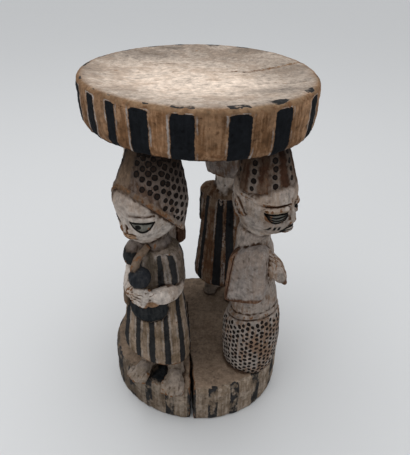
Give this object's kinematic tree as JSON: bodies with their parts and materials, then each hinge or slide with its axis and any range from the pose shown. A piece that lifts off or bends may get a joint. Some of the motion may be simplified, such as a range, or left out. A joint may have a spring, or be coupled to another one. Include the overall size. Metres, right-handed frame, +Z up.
{
  "type": "caryatid stool",
  "caption": "Round dished seat carried by carved standing and kneeling figures on a round base, carved from one block of wood and painted.",
  "frame": {"origin": "middle of the underside of the round base, on the floor", "axes": "+Z up, through the middle of the base and the seat; -Y is the side the picture was taken from, and +X is to the right of it"},
  "size_m": [0.266, 0.278, 0.45],
  "materials": {
    "painted_wood": "hand-carved wood with worn white, ochre and blue-black pigment"
  },
  "bodies": {
    "root": {"caryatid_stool": "painted_wood"}
  },
  "joints": []
}
